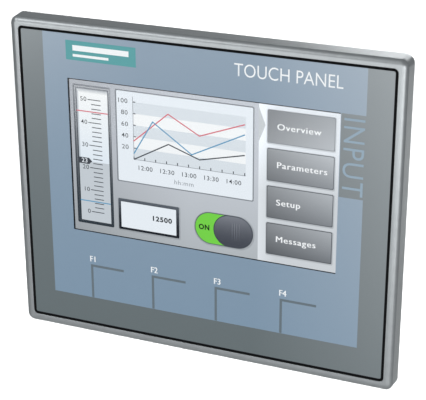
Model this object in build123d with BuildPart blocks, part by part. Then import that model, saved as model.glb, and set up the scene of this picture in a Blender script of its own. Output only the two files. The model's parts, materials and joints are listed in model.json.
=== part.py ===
"""Flush-mount operator panel with a resistive touch display and four membrane function keys.

Row frame: +X to the right as the operator sees it, +Z up, +Y into the cabinet.
Y = 0 is the plane where the front frame meets the cabinet wall, and the origin is its centre.
Units are millimetres.
"""

import math
import os

from build123d import *

# ---------------------------------------------------------------- driving dimensions
FRONT_W, FRONT_H = 140.0, 116.0  # front frame
TOTAL_DEPTH = 33.0
BEZEL_T = 6.4
CUTOUT_W, CUTOUT_H = 123.0, 99.0  # cabinet opening that the housing passes through

CORNER_R = 3.0
COLLAR = 0.8  # straight part of the frame's outer walls, at the cabinet
DRAFT = 4.8  # lean of the walls in front of it, in degrees: the front is smaller than the back
CROWN_W, CROWN_D, CROWN_R = 0.92, 0.9, 3.05  # rounding round the front edge of the frame
RING_W = 0.95  # black seal line between frame and overlay
RIM_W = 3.45  # visible width of the frame outside that line

OVERLAY_RECESS = 0.25
FOIL_T = 0.2
CARRIER_T = 1.6

WINDOW_W, WINDOW_H = 97.1, 56.0  # clear opening in the printed overlay
WINDOW_X, WINDOW_Z = 0.05, 10.1
LCD_Z = 9.9  # centre height of the display module

KEY_COUNT = 4
KEY_SIZE = 13.0
KEY_PITCH = 23.85
KEY_Z = -37.0
KEY_TRAVEL = 0.4

COVER_W, COVER_H = CUTOUT_W - 1.0, CUTOUT_H - 1.0
WALL = 2.2
STEP_DROP = 4.0  # the lower rear zone sits this much further forward
STEP_Z = -24.0

CLIP_Z = 25.0
CLIP_SCREW_R = 1.5
CLIP_SLIDE = 1.8  # how far a clip moves forward to come out of its slot
FOOT_TRAVEL = 4.4
SHEET_MIN = 2.0  # thinnest cabinet wall that the clips hold

EARTH_X, EARTH_Z = 44.0, -36.0

# ---------------------------------------------------------------- depths derived from them
Y_FRONT = -BEZEL_T
Y_FOIL = Y_FRONT + OVERLAY_RECESS
Y_FOIL_BACK = Y_FOIL + FOIL_T
Y_CARRIER_BACK = Y_FOIL_BACK + CARRIER_T
Y_REAR = TOTAL_DEPTH - BEZEL_T
Y_STEP = Y_REAR - STEP_DROP

OPENING_W, OPENING_H = FRONT_W - 2 * RIM_W, FRONT_H - 2 * RIM_W
FOIL_W, FOIL_H = OPENING_W - 2 * RING_W, OPENING_H - 2 * RING_W
FOIL_R = 0.6

POCKET_DEPTH = 1.65  # rear pocket of the frame, for the cover's flange
FLANGE_T = 1.6
FLANGE_W, FLANGE_H = COVER_W + 4.8, COVER_H + 4.8
COVER_R = 5.0

SEAL_W, SEAL_GROOVE, SEAL_PROUD = 3.4, 0.9, 0.6
SEAL_OUT_W, SEAL_OUT_H = FRONT_W - 3.8, FRONT_H - 3.8

TOUCH_W, TOUCH_H = 103.6, 63.4
FILM_T, GLASS_T = 0.2, 0.5
Y_FILM_BACK = Y_FOIL_BACK + FILM_T
Y_GLASS_BACK = Y_FILM_BACK + GLASS_T

TRAY_W, TRAY_H, SHEET_T = 104.6, 64.4, 0.3
CELL_W, CELL_H, CELL_T = 101.0, 60.6, 1.2
FOAM_T = 0.3
Y_TRAY_FRONT = Y_GLASS_BACK + FOAM_T
Y_TRAY_BACK = Y_TRAY_FRONT + 2.65
Y_CELL_BACK = Y_GLASS_BACK + 0.05 + CELL_T

BOSS_X, BOSS_Z = 55.5, 43.5
BOSS_R, NECK_R, SLEEVE_R, SLEEVE_BORE_R = 3.0, 2.2, 3.4, 2.4
HEAD_DEPTH = 3.0  # from the rear surface down to the seat of a cover screw

Y_PLATE, PLATE_T = 0.2, 0.8
Y_BOARD, BOARD_T = 5.0, 1.6
Y_BOARD_BACK = Y_BOARD + BOARD_T
BOARD_W, BOARD_TOP, BOARD_BOTTOM = 104.0, 38.0, -46.0
STANDOFF_X, STANDOFF_TOP, STANDOFF_BOTTOM = 46.0, 34.0, -20.0

PORT_FACE_Z = -COVER_H / 2 + 0.6  # where the sockets end, just inside the bottom wall
POWER_X, USB_X, ETHERNET_X = -38.0, -12.0, 18.0

FIT = 0.05  # gap between pieces that only touch
KEY_GAP = 0.1  # room round a key in the carrier
PILOT_R = 1.05  # bore in a carrier boss that its cover screw cuts into
PIECES = {}


def depth(y):
    """A plane facing the operator at depth y. Its extrusions come towards the operator."""
    return Plane.XZ.offset(-y)


def keep(builder, name):
    """Label a finished piece and put it on the list to be written."""
    builder.part.label = name
    PIECES[name] = builder.part


def key_x(number):
    return (number - (KEY_COUNT + 1) / 2) * KEY_PITCH


def corners(x, z):
    return [(sx * x, sz * z) for sx in (-1, 1) for sz in (-1, 1)]


# ---------------------------------------------------------------- front frame and its seals
def make_front_bezel():
    with BuildPart() as bezel:
        with BuildSketch(depth(0)):
            RectangleRounded(FRONT_W, FRONT_H, CORNER_R)
        extrude(amount=COLLAR)
        with BuildSketch(depth(-COLLAR)):
            RectangleRounded(FRONT_W, FRONT_H, CORNER_R)
        extrude(amount=BEZEL_T - COLLAR, taper=DRAFT)
        front = bezel.faces().sort_by(Axis.Y)[0]
        chamfer(front.edges(), CROWN_W, CROWN_D, reference=front)
        fillet(bezel.faces().sort_by(Axis.Y)[0].edges(), CROWN_R)
        chamfer(bezel.faces().sort_by(Axis.Y)[-1].edges(), 0.35)
        with BuildSketch(depth(Y_CARRIER_BACK)):
            RectangleRounded(OPENING_W, OPENING_H, FOIL_R + RING_W)
        extrude(amount=BEZEL_T, mode=Mode.SUBTRACT)
        fillet(bezel.faces().sort_by(Axis.Y)[0].inner_wires().edges(), 0.15)
        with BuildSketch(depth(0)):
            RectangleRounded(CUTOUT_W + 0.4, CUTOUT_H + 0.4, COVER_R)
        extrude(amount=BEZEL_T, mode=Mode.SUBTRACT)
        with BuildSketch(depth(0)):
            RectangleRounded(FLANGE_W + 0.4, FLANGE_H + 0.4, COVER_R + 0.4)
        extrude(amount=POCKET_DEPTH, mode=Mode.SUBTRACT)
        with BuildSketch(depth(0)):
            RectangleRounded(SEAL_OUT_W + 0.2, SEAL_OUT_H + 0.2, CORNER_R)
            RectangleRounded(
                SEAL_OUT_W - 2 * SEAL_W - 0.2,
                SEAL_OUT_H - 2 * SEAL_W - 0.2,
                COVER_R,
                mode=Mode.SUBTRACT,
            )
        extrude(amount=SEAL_GROOVE, mode=Mode.SUBTRACT)
    keep(bezel, "front_bezel")


def make_mounting_seal():
    with BuildPart() as seal:
        with BuildSketch(depth(SEAL_PROUD)):
            RectangleRounded(SEAL_OUT_W, SEAL_OUT_H, CORNER_R)
            RectangleRounded(
                SEAL_OUT_W - 2 * SEAL_W, SEAL_OUT_H - 2 * SEAL_W, COVER_R, mode=Mode.SUBTRACT
            )
        extrude(amount=SEAL_PROUD + SEAL_GROOVE)
        fillet(seal.faces().sort_by(Axis.Y)[-1].edges(), 0.4)
    keep(seal, "mounting_seal")


def make_overlay_seal():
    with BuildPart() as ring:
        with BuildSketch(depth(Y_CARRIER_BACK)):
            RectangleRounded(OPENING_W, OPENING_H, FOIL_R + RING_W)
            RectangleRounded(FOIL_W, FOIL_H, FOIL_R, mode=Mode.SUBTRACT)
        extrude(amount=CARRIER_T + 0.1)
        fillet(ring.faces().sort_by(Axis.Y)[0].edges(), 0.2)
    keep(ring, "overlay_seal")


# ---------------------------------------------------------------- overlay and carrier
def make_overlay_foil():
    with BuildPart() as foil:
        with BuildSketch(depth(Y_FOIL_BACK)):
            RectangleRounded(FOIL_W, FOIL_H, FOIL_R)
            with Locations((WINDOW_X, WINDOW_Z)):
                RectangleRounded(WINDOW_W, WINDOW_H, 0.3, mode=Mode.SUBTRACT)
            with Locations(*[(key_x(n), KEY_Z) for n in range(1, KEY_COUNT + 1)]):
                Rectangle(KEY_SIZE + 2 * FIT, KEY_SIZE + 2 * FIT, mode=Mode.SUBTRACT)
        extrude(amount=FOIL_T)
    keep(foil, "overlay_foil")


STAKE_XS = (-48.0, 0.0, 48.0)
STAKE_R = 0.8
STAKE_BASE_R = 1.6
Y_KEYPAD, KEYPAD_T = -2.4, 0.9  # front face and thickness of the keypad board


def neck_end(z):
    """Depth where a carrier boss stops, under the seat of its cover screw."""
    surface = Y_REAR if z > STEP_Z else Y_STEP
    return surface - HEAD_DEPTH - 1.6


def make_front_carrier():
    opening_w, opening_h = TRAY_W + 0.6, TRAY_H + 0.6
    with BuildPart() as carrier:
        with BuildSketch(depth(Y_CARRIER_BACK)):
            RectangleRounded(FOIL_W - 2 * FIT, FOIL_H - 2 * FIT, FOIL_R)
            with Locations(*[(key_x(n), KEY_Z) for n in range(1, KEY_COUNT + 1)]):
                Rectangle(KEY_SIZE + 2 * KEY_GAP, KEY_SIZE + 2 * KEY_GAP, mode=Mode.SUBTRACT)
        extrude(amount=CARRIER_T)
        with BuildSketch(depth(Y_TRAY_BACK - 0.2)):
            with Locations((0, LCD_Z)):
                Rectangle(opening_w + 3.2, opening_h + 3.2)
        extrude(amount=Y_TRAY_BACK - 0.2 - Y_CARRIER_BACK)
        with BuildSketch(depth(Y_TRAY_BACK)):
            with Locations((0, LCD_Z)):
                Rectangle(opening_w, opening_h)
        extrude(amount=BEZEL_T, mode=Mode.SUBTRACT)
        with BuildSketch(depth(Y_PLATE)):
            with Locations(*corners(BOSS_X, BOSS_Z)):
                Circle(BOSS_R)
        extrude(amount=Y_PLATE - Y_CARRIER_BACK)
        for x, z in corners(BOSS_X, BOSS_Z):
            with BuildSketch(depth(neck_end(z))):
                with Locations((x, z)):
                    Circle(NECK_R)
            extrude(amount=neck_end(z) - Y_PLATE)
            with BuildSketch(depth(neck_end(z))):
                with Locations((x, z)):
                    Circle(PILOT_R)
            extrude(amount=10, mode=Mode.SUBTRACT)
        with BuildSketch(depth(Y_KEYPAD)):
            with Locations(*[(x, KEY_Z) for x in STAKE_XS]):
                Circle(STAKE_BASE_R)
        extrude(amount=Y_KEYPAD - Y_CARRIER_BACK)
        with BuildSketch(depth(Y_KEYPAD + KEYPAD_T + 0.4)):
            with Locations(*[(x, KEY_Z) for x in STAKE_XS]):
                Circle(STAKE_R)
        extrude(amount=KEYPAD_T + 0.4)
    keep(carrier, "front_carrier")


# ---------------------------------------------------------------- touch sensor and display module
def make_slab(name, width, height, y_back, thickness, radius=0.5, z=LCD_Z):
    """A flat rectangular layer of the display stack."""
    with BuildPart() as slab:
        with BuildSketch(depth(y_back)):
            with Locations((0, z)):
                RectangleRounded(width, height, radius)
        extrude(amount=thickness)
    keep(slab, name)


def make_slab_ring(name, outer, inner, y_back, thickness):
    """A flat rectangular frame of the display stack."""
    with BuildPart() as ring:
        with BuildSketch(depth(y_back)):
            with Locations((0, LCD_Z)):
                RectangleRounded(*outer, 0.4)
                Rectangle(*inner, mode=Mode.SUBTRACT)
        extrude(amount=thickness)
    keep(ring, name)


def make_lcd_shield():
    with BuildPart() as tray:
        with BuildSketch(depth(Y_TRAY_BACK)):
            with Locations((0, LCD_Z)):
                RectangleRounded(TRAY_W, TRAY_H, 0.6)
        extrude(amount=Y_TRAY_BACK - Y_TRAY_FRONT)
        with BuildSketch(depth(Y_TRAY_BACK - SHEET_T)):
            with Locations((0, LCD_Z)):
                RectangleRounded(TRAY_W - 2 * SHEET_T, TRAY_H - 2 * SHEET_T, 0.3)
        extrude(amount=BEZEL_T, mode=Mode.SUBTRACT)
    keep(tray, "lcd_shield")


def make_display_pads():
    with BuildPart() as pads:
        with BuildSketch(depth(Y_PLATE)):
            with Locations((0, LCD_Z)):
                with GridLocations(80, 44, 2, 2):
                    RectangleRounded(8, 8, 1)
        extrude(amount=Y_PLATE - Y_TRAY_BACK)
    keep(pads, "display_pads")


def make_display_stack():
    make_slab("touch_film", TOUCH_W, TOUCH_H, Y_FILM_BACK, FILM_T)
    make_slab("touch_glass", TOUCH_W, TOUCH_H, Y_GLASS_BACK, GLASS_T)
    make_slab_ring("display_foam", (TOUCH_W, TOUCH_H), (CELL_W + 0.6, CELL_H + 0.6), Y_TRAY_FRONT, FOAM_T)
    make_slab("lcd_cell", CELL_W, CELL_H, Y_CELL_BACK, CELL_T)
    frame_depth = Y_TRAY_BACK - SHEET_T - FIT - Y_TRAY_FRONT
    make_slab_ring(
        "lcd_frame",
        (TRAY_W - 2 * SHEET_T - 0.1, TRAY_H - 2 * SHEET_T - 0.1),
        (CELL_W + 0.1, CELL_H + 0.1),
        Y_TRAY_BACK - SHEET_T - FIT,
        frame_depth,
    )
    guide_back = Y_TRAY_BACK - SHEET_T - FIT
    make_slab("backlight_guide", CELL_W, CELL_H, guide_back, guide_back - FIT - Y_CELL_BACK)
    make_lcd_shield()
    make_display_pads()


TOUCH_PLUG, LCD_PLUG, KEYPAD_PLUG = (-25, -31), (10, -27), (34, -34)  # cable connectors on the board
CONNECTOR_T, CONNECTOR_H = 1.1, 3.4


def make_flat_cable(name, x, width, points, bend, thickness=0.12):
    """A flat flexible cable of one width, whose side view follows (y, z) points."""
    with BuildPart() as cable:
        with BuildSketch(Plane.YZ.offset(x - width / 2)):
            with BuildLine() as route:
                FilletPolyline(*points, radius=bend)
            trace(route.line, line_width=thickness)
        extrude(amount=width)
    keep(cable, name)


def make_cables():
    lowest_touch = LCD_Z - TOUCH_H / 2
    beside_tray = LCD_Z - TRAY_H / 2 - 0.15
    y_touch = Y_GLASS_BACK - GLASS_T / 2
    y_plug = Y_BOARD - CONNECTOR_T - 0.1
    y_down = -0.6  # the touch cable runs down at this depth, behind the carrier
    x, z = TOUCH_PLUG
    touch_route = [
        (y_touch, lowest_touch - FIT),
        (y_touch, beside_tray),
        (y_down, beside_tray),
        (y_down, z),
        (y_plug, z),
    ]
    make_flat_cable("touch_cable", x, 8, touch_route, 0.25)
    x, z = LCD_PLUG
    y_back = Y_TRAY_BACK + 0.1
    make_flat_cable("lcd_cable", x, 22, [(y_back, -8), (y_back, z), (y_plug, z)], 1.2)
    x, z = KEYPAD_PLUG
    y_pad = Y_KEYPAD + KEYPAD_T + 0.1
    make_flat_cable("keypad_cable", x, 10, [(y_pad, -40), (y_pad, z), (y_plug, z)], 0.8)


# ---------------------------------------------------------------- function keys
SWITCH_TOP = -3.4
FLANGE_BACK = SWITCH_TOP - KEY_TRAVEL - 0.1


def make_key(number):
    x = key_x(number)
    with BuildPart() as face:
        with BuildSketch(depth(Y_FOIL_BACK)):
            with Locations((x, KEY_Z)):
                Rectangle(KEY_SIZE, KEY_SIZE)
        extrude(amount=FOIL_T)
    keep(face, f"key_face_f{number}")

    flange_front = Y_CARRIER_BACK + FIT
    with BuildPart() as plunger:
        with BuildSketch(depth(FLANGE_BACK)):
            with Locations((x, KEY_Z)):
                Rectangle(KEY_SIZE - 0.4, KEY_SIZE - 0.4)
        extrude(amount=FLANGE_BACK - Y_FOIL_BACK)
        with BuildSketch(depth(FLANGE_BACK)):
            with Locations((x, KEY_Z)):
                Rectangle(KEY_SIZE + 1.4, KEY_SIZE + 1.4)
        extrude(amount=FLANGE_BACK - flange_front)
        with BuildSketch(depth(SWITCH_TOP + 0.45)):
            with Locations((x, KEY_Z)):
                Circle(1.2)
        extrude(amount=SWITCH_TOP + 0.45 - FLANGE_BACK)
    keep(plunger, f"key_plunger_f{number}")


def make_key_switches():
    with BuildPart() as switches:
        with BuildSketch(depth(Y_KEYPAD)):
            with Locations(*[(key_x(n), KEY_Z) for n in range(1, KEY_COUNT + 1)]):
                RectangleRounded(6.2, 6.2, 0.4)
        extrude(amount=Y_KEYPAD - SWITCH_TOP)
        with BuildSketch(depth(Y_KEYPAD - 0.1)):
            with Locations(*[(key_x(n), KEY_Z) for n in range(1, KEY_COUNT + 1)]):
                Circle(1.3)
        extrude(amount=2, mode=Mode.SUBTRACT)
    keep(switches, "key_switches")


def make_keypad_board():
    with BuildPart() as board:
        with BuildSketch(depth(Y_KEYPAD + KEYPAD_T)):
            with Locations((0, KEY_Z)):
                RectangleRounded(BOARD_W, 15, 1)
            with Locations(*[(x, KEY_Z) for x in STAKE_XS]):
                Circle(STAKE_R + 0.1, mode=Mode.SUBTRACT)
        extrude(amount=KEYPAD_T)
    keep(board, "keypad_board")


# ---------------------------------------------------------------- electronics
def make_support_plate():
    standoffs = [(sx * STANDOFF_X, z) for sx in (-1, 1) for z in (STANDOFF_TOP, STANDOFF_BOTTOM)]
    with BuildPart() as plate:
        with BuildSketch(depth(Y_PLATE + PLATE_T)):
            RectangleRounded(COVER_W - 2 * WALL - 1, COVER_H - 2 * WALL - 1, 2.5)
            with Locations((0, -33)):
                RectangleRounded(96, 18, 2, mode=Mode.SUBTRACT)
            with Locations(*corners(BOSS_X, BOSS_Z)):
                Circle(SLEEVE_BORE_R, mode=Mode.SUBTRACT)
        extrude(amount=PLATE_T)
        with BuildSketch(depth(Y_BOARD)):
            with Locations(*standoffs):
                RegularPolygon(2.6, 6)
        extrude(amount=Y_BOARD - Y_PLATE - PLATE_T)
        with BuildSketch(depth(Y_BOARD)):
            with Locations(*standoffs):
                Circle(1.3)
        extrude(amount=BEZEL_T, mode=Mode.SUBTRACT)
    keep(plate, "support_plate")

    with BuildPart() as board:
        with BuildSketch(depth(Y_BOARD_BACK)):
            with Locations((0, (BOARD_TOP + BOARD_BOTTOM) / 2)):
                RectangleRounded(BOARD_W, BOARD_TOP - BOARD_BOTTOM, 1.5)
            with Locations(*standoffs):
                Circle(1.4, mode=Mode.SUBTRACT)
        extrude(amount=BOARD_T)
    keep(board, "main_board")

    with BuildPart() as screws:
        with BuildSketch(depth(Y_BOARD_BACK + 1.5)):
            with Locations(*standoffs):
                Circle(2.3)
        extrude(amount=1.5)
        with BuildSketch(depth(Y_BOARD_BACK)):
            with Locations(*standoffs):
                Circle(1.2)
        extrude(amount=4.5)
        fillet(screws.faces().group_by(Axis.Y)[-1].edges(), 0.5)
        with BuildSketch(depth(Y_BOARD_BACK + 1.5)):
            with Locations(*standoffs):
                SlotOverall(3.0, 0.6)
                SlotOverall(3.0, 0.6, rotation=90)
        extrude(amount=0.9, mode=Mode.SUBTRACT)
    keep(screws, "board_screws")


def make_on_board(name, height, draw, places):
    """Components of one kind, standing on the rear side of the main board."""
    with BuildPart() as parts:
        with BuildSketch(depth(Y_BOARD_BACK + height)):
            with Locations(*places):
                draw()
        extrude(amount=height)
        chamfer(parts.faces().group_by(Axis.Y)[-1].edges(), 0.15)
    keep(parts, name)


def make_components():
    make_on_board("processor", 1.2, lambda: Rectangle(14, 14), [(0, 8)])
    make_on_board("memory_chips", 1.0, lambda: Rectangle(8, 12), [(18, 14), (18, -1)])
    make_on_board("capacitors", 10.0, lambda: Circle(4), [(-36, -28), (-26, -28), (-42, -6)])
    make_on_board("inductor", 4.0, lambda: RectangleRounded(9, 9, 1.5), [(-28, -4)])
    make_on_board("buzzer", 5.0, lambda: Circle(6), [(36, 20)])
    with BuildPart() as connectors:
        with BuildSketch(depth(Y_BOARD)):
            for place, width in ((TOUCH_PLUG, 12), (LCD_PLUG, 26), (KEYPAD_PLUG, 14)):
                with Locations(place):
                    Rectangle(width, CONNECTOR_H)
        extrude(amount=CONNECTOR_T)
    keep(connectors, "board_connectors")


# ---------------------------------------------------------------- sockets on the bottom edge
def make_socket_body(name, x, size, cavities):
    """A socket on the main board, open towards -Z.

    size is (width, height, length). Each cavity is (width, height, length, lift off the board).
    """
    with BuildPart() as body:
        with BuildSketch(Plane.XY.offset(PORT_FACE_Z)):
            with Locations((x, Y_BOARD_BACK + size[1] / 2)):
                Rectangle(size[0], size[1])
        extrude(amount=size[2])
        for width, height, length, lift in cavities:
            with BuildSketch(Plane.XY.offset(PORT_FACE_Z)):
                with Locations((x, Y_BOARD_BACK + lift + height / 2)):
                    Rectangle(width, height)
            extrude(amount=length, mode=Mode.SUBTRACT)
    keep(body, name)


POWER_SIZE = (13.0, 8.8, 12.0)  # width, height off the board, length
POWER_CAVITY = (11.4, 7.0, 9.0, 0.9)
PIN_PITCH, PIN_SIZE = 5.08, 0.8
USB_SIZE = (13.2, 7.0, 14.0)
USB_CAVITY = (12.4, 5.4, 12.4, 0.8)
ETHERNET_SIZE = (16.0, 13.4, 21.0)
ETHERNET_CAVITY = (11.9, 7.4, 14.0, 3.6)
LATCH_CAVITIES = [(6.2, 1.6, 14.0, 2.0), (3.6, 1.5, 14.0, 0.8)]


def make_power_socket():
    make_socket_body("power_header", POWER_X, POWER_SIZE, [POWER_CAVITY])
    y_pins = Y_BOARD_BACK + POWER_CAVITY[3] + POWER_CAVITY[1] / 2
    with BuildPart() as pins:
        with BuildSketch(Plane.XY.offset(PORT_FACE_Z + 1.5)):
            with Locations((POWER_X, y_pins)):
                with GridLocations(PIN_PITCH, 1, 2, 1):
                    Rectangle(PIN_SIZE, PIN_SIZE)
        extrude(amount=POWER_CAVITY[2] - 1.5)
        chamfer(pins.faces().group_by(Axis.Z)[0].edges(), 0.2)
    keep(pins, "power_pins")


def make_usb_socket():
    make_socket_body("usb_port", USB_X, USB_SIZE, [USB_CAVITY])
    with BuildPart() as tongue:
        with BuildSketch(Plane.XY.offset(PORT_FACE_Z + 1.6)):
            with Locations((USB_X, Y_BOARD_BACK + USB_CAVITY[3] + 1.5)):
                Rectangle(11.0, 1.8)
        extrude(amount=USB_CAVITY[2] - 1.6)
    keep(tongue, "usb_tongue")


def make_ethernet_socket():
    make_socket_body("ethernet_jack", ETHERNET_X, ETHERNET_SIZE, [ETHERNET_CAVITY, *LATCH_CAVITIES])
    contact_y = Y_BOARD_BACK + ETHERNET_CAVITY[3] + ETHERNET_CAVITY[1] - 0.5
    with BuildPart() as contacts:
        with BuildSketch(Plane.XY.offset(PORT_FACE_Z + 4)):
            with Locations((ETHERNET_X, contact_y)):
                with GridLocations(1.02, 1, 8, 1):
                    Rectangle(0.4, 0.7)
        extrude(amount=ETHERNET_CAVITY[2] - 4)
    keep(contacts, "ethernet_contacts")


# ---------------------------------------------------------------- rear cover
LABEL_W, LABEL_H, LABEL_Z = 62.0, 26.0, 0.0
VENT_COUNT, VENT_PITCH, VENT_W = 15, 6.0, 2.2
TONGUE_Y = (10.3, 12.2)  # the part of a mounting clip that passes through the side wall
CLIP_SLOT_Y = (TONGUE_Y[0] - CLIP_SLIDE - 0.1, TONGUE_Y[1] + 0.1)
CLIP_SLOT_H = 8.6
EARTH_POCKET = 13.0


def make_rear_cover():
    with BuildPart() as cover:
        with BuildSketch(depth(Y_REAR)):
            RectangleRounded(COVER_W, COVER_H, COVER_R)
        extrude(amount=Y_REAR + FLANGE_T)
        with BuildSketch(Plane.YZ.offset(-COVER_W / 2 - 1)):
            with Locations((Y_STEP + STEP_DROP, STEP_Z - 50)):
                Rectangle(2 * STEP_DROP, 100)
        extrude(amount=COVER_W + 2, mode=Mode.SUBTRACT)
        step_corner = cover.edges().filter_by(Axis.X).sort_by_distance((0, Y_STEP, STEP_Z))[0]
        rear_faces = cover.faces().filter_by(Axis.Y).filter_by(lambda f: f.center().Y > Y_STEP - 0.1)
        chamfer([edge for edge in rear_faces.edges() if edge != step_corner], 1.2)
        with BuildSketch(depth(0)):
            RectangleRounded(FLANGE_W, FLANGE_H, COVER_R + 0.2)
        extrude(amount=FLANGE_T)
        with BuildSketch(depth(Y_STEP - WALL)):
            RectangleRounded(COVER_W - 2 * WALL, COVER_H - 2 * WALL, COVER_R - WALL)
        extrude(amount=Y_REAR + BEZEL_T, mode=Mode.SUBTRACT)
        upper_h = COVER_H / 2 - WALL - (STEP_Z + WALL)
        with BuildSketch(depth(Y_REAR - WALL)):
            with Locations((0, STEP_Z + WALL + upper_h / 2)):
                RectangleRounded(COVER_W - 2 * WALL, upper_h, COVER_R - WALL)
        extrude(amount=STEP_DROP + WALL, mode=Mode.SUBTRACT)

        # sleeves that slide over the carrier's bosses, each with a seat for its screw
        for x, z in corners(BOSS_X, BOSS_Z):
            surface = Y_REAR if z > STEP_Z else Y_STEP
            front = Y_PLATE + PLATE_T + FIT
            for radius, back, length, mode in (
                (SLEEVE_R, surface - WALL / 2, surface - WALL / 2 - front, Mode.ADD),
                (SLEEVE_BORE_R, neck_end(z) + 0.2, neck_end(z) + 0.2 - front, Mode.SUBTRACT),
                (1.4, surface, HEAD_DEPTH + 2, Mode.SUBTRACT),
                (2.7, surface, HEAD_DEPTH, Mode.SUBTRACT),
            ):
                with BuildSketch(depth(back)):
                    with Locations((x, z)):
                        Circle(radius)
                extrude(amount=length, mode=mode)

        # a square pocket for the earth terminal, with a pad behind it
        for size, back, mode in (
            (EARTH_POCKET + 4, Y_STEP - WALL, Mode.ADD),
            (EARTH_POCKET, Y_STEP, Mode.SUBTRACT),
        ):
            with BuildSketch(depth(back)):
                with Locations((EARTH_X, EARTH_Z)):
                    RectangleRounded(size, size, 1)
            extrude(amount=WALL, mode=mode)
        with BuildSketch(depth(Y_STEP)):
            with Locations((EARTH_X, EARTH_Z)):
                Circle(3.1)
        extrude(amount=3 * WALL, mode=Mode.SUBTRACT)

        # openings for the sockets in the bottom wall
        with BuildSketch(Plane.XY.offset(-COVER_H / 2 - 1)):
            for x, size in ((POWER_X, POWER_SIZE), (USB_X, USB_SIZE), (ETHERNET_X, ETHERNET_SIZE)):
                with Locations((x, Y_BOARD_BACK + size[1] / 2)):
                    Rectangle(size[0] + 0.5, size[1] + 0.5)
        extrude(amount=WALL + 1.5, mode=Mode.SUBTRACT)

        # ventilation slots through the top wall and the upper part of the rear wall
        with BuildSketch(Plane.XY.offset(COVER_H / 2 - WALL - 0.5)):
            with Locations((0, 13.5)):
                with GridLocations(VENT_PITCH, 1, VENT_COUNT, 1):
                    SlotOverall(13, VENT_W, rotation=90)
        extrude(amount=WALL + 1.5, mode=Mode.SUBTRACT)
        with BuildSketch(depth(Y_REAR + 1)):
            with Locations((0, 31)):
                with GridLocations(VENT_PITCH, 1, VENT_COUNT, 1):
                    SlotOverall(17, VENT_W, rotation=90)
        extrude(amount=WALL + 1.5, mode=Mode.SUBTRACT)

        # recess for the rating plate, and slots in the side walls for the mounting clips
        with BuildSketch(depth(Y_REAR)):
            with Locations((0, LABEL_Z)):
                RectangleRounded(LABEL_W + 0.4, LABEL_H + 0.4, 1.2)
        extrude(amount=0.3, mode=Mode.SUBTRACT)
        slot_length = CLIP_SLOT_Y[1] - CLIP_SLOT_Y[0]
        with BuildSketch(Plane.YZ.offset(-COVER_W / 2 - 1)):
            with Locations((sum(CLIP_SLOT_Y) / 2, 0)):
                with GridLocations(1, 2 * CLIP_Z, 1, 2):
                    Rectangle(slot_length, CLIP_SLOT_H)
        extrude(amount=WALL + 2, mode=Mode.SUBTRACT)
        with BuildSketch(Plane.YZ.offset(COVER_W / 2 + 1)):
            with Locations((sum(CLIP_SLOT_Y) / 2, 0)):
                with GridLocations(1, 2 * CLIP_Z, 1, 2):
                    Rectangle(slot_length, CLIP_SLOT_H)
        extrude(amount=-WALL - 2, mode=Mode.SUBTRACT)
    keep(cover, "rear_cover")


def make_cover_screws():
    with BuildPart() as screws:
        for x, z in corners(BOSS_X, BOSS_Z):
            seat = (Y_REAR if z > STEP_Z else Y_STEP) - HEAD_DEPTH
            for radius, back, length in ((2.4, seat + 1.8, 1.8), (1.0, seat, 8.0)):
                with BuildSketch(depth(back)):
                    with Locations((x, z)):
                        Circle(radius)
                extrude(amount=length)
        heads = screws.faces().filter_by(Axis.Y).filter_by(lambda f: f.area > 14 and f.normal_at().Y > 0)
        fillet(heads.edges(), 0.5)
        for x, z in corners(BOSS_X, BOSS_Z):
            top = (Y_REAR if z > STEP_Z else Y_STEP) - HEAD_DEPTH + 1.8
            with BuildSketch(depth(top)):
                with Locations((x, z)):
                    SlotOverall(3.2, 0.7)
                    SlotOverall(3.2, 0.7, rotation=90)
            extrude(amount=1.1, mode=Mode.SUBTRACT)
    keep(screws, "cover_screws")


def make_rating_plate():
    with BuildPart() as label:
        with BuildSketch(depth(Y_REAR - 0.05)):
            with Locations((0, LABEL_Z)):
                RectangleRounded(LABEL_W, LABEL_H, 1)
        extrude(amount=0.25)
    keep(label, "rating_plate")


# ---------------------------------------------------------------- functional earth terminal
def make_earth_terminal():
    floor = Y_STEP - WALL
    with BuildPart() as bracket:
        with BuildSketch(depth(floor + 1)):
            with Locations((EARTH_X, EARTH_Z)):
                RectangleRounded(12, 12, 0.8)
        extrude(amount=1)
        with BuildSketch(depth(floor)):
            with Locations((EARTH_X, EARTH_Z)):
                Circle(3)
        extrude(amount=7)
        with BuildSketch(depth(floor + 1)):
            with Locations((EARTH_X, EARTH_Z)):
                Circle(2.05)
        extrude(amount=20, mode=Mode.SUBTRACT)
    keep(bracket, "earth_bracket")

    washer_front = floor + 1 + FIT
    with BuildPart() as washer:
        with BuildSketch(depth(washer_front + 1)):
            with Locations((EARTH_X, EARTH_Z)):
                RectangleRounded(9, 9, 0.8)
                Circle(2.1, mode=Mode.SUBTRACT)
        extrude(amount=1)
        chamfer(washer.faces().sort_by(Axis.Y)[-1].edges(), 0.15)
    keep(washer, "earth_washer")

    seat = washer_front + 1 + FIT
    with BuildPart() as screw:
        with BuildSketch(depth(seat + 2.4)):
            with Locations((EARTH_X, EARTH_Z)):
                Circle(3.8)
        extrude(amount=2.4)
        fillet(screw.faces().sort_by(Axis.Y)[-1].edges(), 0.8)
        with BuildSketch(depth(seat)):
            with Locations((EARTH_X, EARTH_Z)):
                Circle(2.0)
        extrude(amount=8)
        with BuildSketch(depth(seat + 2.4)):
            with Locations((EARTH_X, EARTH_Z)):
                SlotOverall(5.0, 0.9)
                SlotOverall(5.0, 0.9, rotation=90)
        extrude(amount=1.4, mode=Mode.SUBTRACT)
    keep(screw, "earth_screw")


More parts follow.
